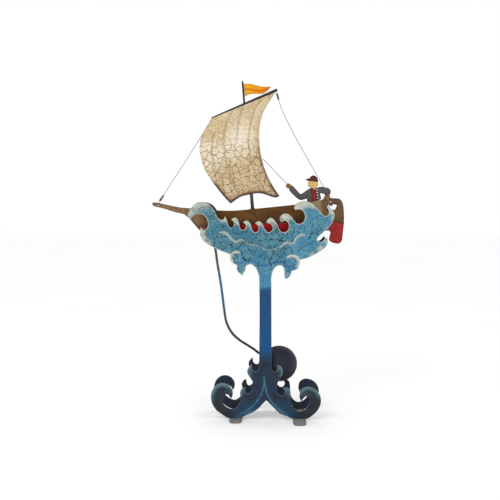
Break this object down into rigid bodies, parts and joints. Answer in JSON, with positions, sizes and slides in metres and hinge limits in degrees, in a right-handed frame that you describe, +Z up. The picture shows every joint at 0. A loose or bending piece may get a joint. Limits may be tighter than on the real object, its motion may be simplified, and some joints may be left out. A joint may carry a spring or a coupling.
{
  "type": "rocking ship ornament",
  "caption": "Painted sheet-metal ship with a sailor that rocks on a pivot between two wave-shaped stand plates, kept upright by a ball on a bent rod.",
  "frame": {"origin": "on the floor, at the middle of the whole object's length and depth", "axes": "+Z up; the bow points to -X and the stern to +X; the sail and the sailor are on the -Y face of the mast"},
  "size_m": [0.3264, 0.148, 0.5688],
  "materials": {
    "wave_paint": "brushed blue paint over dark steel, with crackle",
    "bare_steel": "flat grey primer",
    "hull_paint": "satin brown paint, red below the waterline",
    "rudder_paint": "satin red and brown paint",
    "spar_paint": "dark satin paint",
    "sail_paint": "cream paint with fine crackle",
    "flag_paint": "satin yellow paint with an orange stripe",
    "ball_paint": "dark satin paint",
    "wire_steel": "dull drawn wire",
    "cap_paint": "dark maroon satin paint",
    "skin_paint": "ochre satin paint",
    "jacket_paint": "grey satin paint",
    "shirt_paint": "red satin paint",
    "button_paint": "cream paint"
  },
  "bodies": {
    "stand": {"wave_plate_front": "wave_paint", "wave_plate_rear": "wave_paint", "foot_bar_left": "bare_steel", "foot_bar_right": "bare_steel", "pivot_rod": "bare_steel"},
    "ship": {"keel_plate": "hull_paint", "rudder": "rudder_paint", "bearing_tube": "bare_steel", "hull_side_port": "hull_paint", "hull_side_starboard": "hull_paint", "mast": "spar_paint", "mast_step": "spar_paint", "yard": "spar_paint", "sail": "sail_paint", "flag": "flag_paint", "fore_stay": "wire_steel", "back_stay": "wire_steel", "hand_line": "wire_steel", "fore_stay_lashing": "spar_paint", "back_stay_lashing": "spar_paint", "yard_lashing": "spar_paint", "sailor_jacket": "jacket_paint", "sailor_shirt": "shirt_paint", "sailor_button_1": "button_paint", "sailor_button_2": "button_paint", "sailor_button_3": "button_paint", "sailor_button_4": "button_paint", "sailor_head": "skin_paint", "sailor_cap": "cap_paint", "sailor_hand_fore": "skin_paint", "sailor_hand_aft": "skin_paint", "counterweight_rod": "spar_paint", "counterweight_ball": "ball_paint"}
  },
  "joints": [
    {"name": "ship_rock", "type": "hinge", "parent": "stand", "child": "ship", "pos_m": [0.03025, 0, 0.3055], "axis": [0, 1, 0], "range_deg": [-20, 20]}
  ]
}
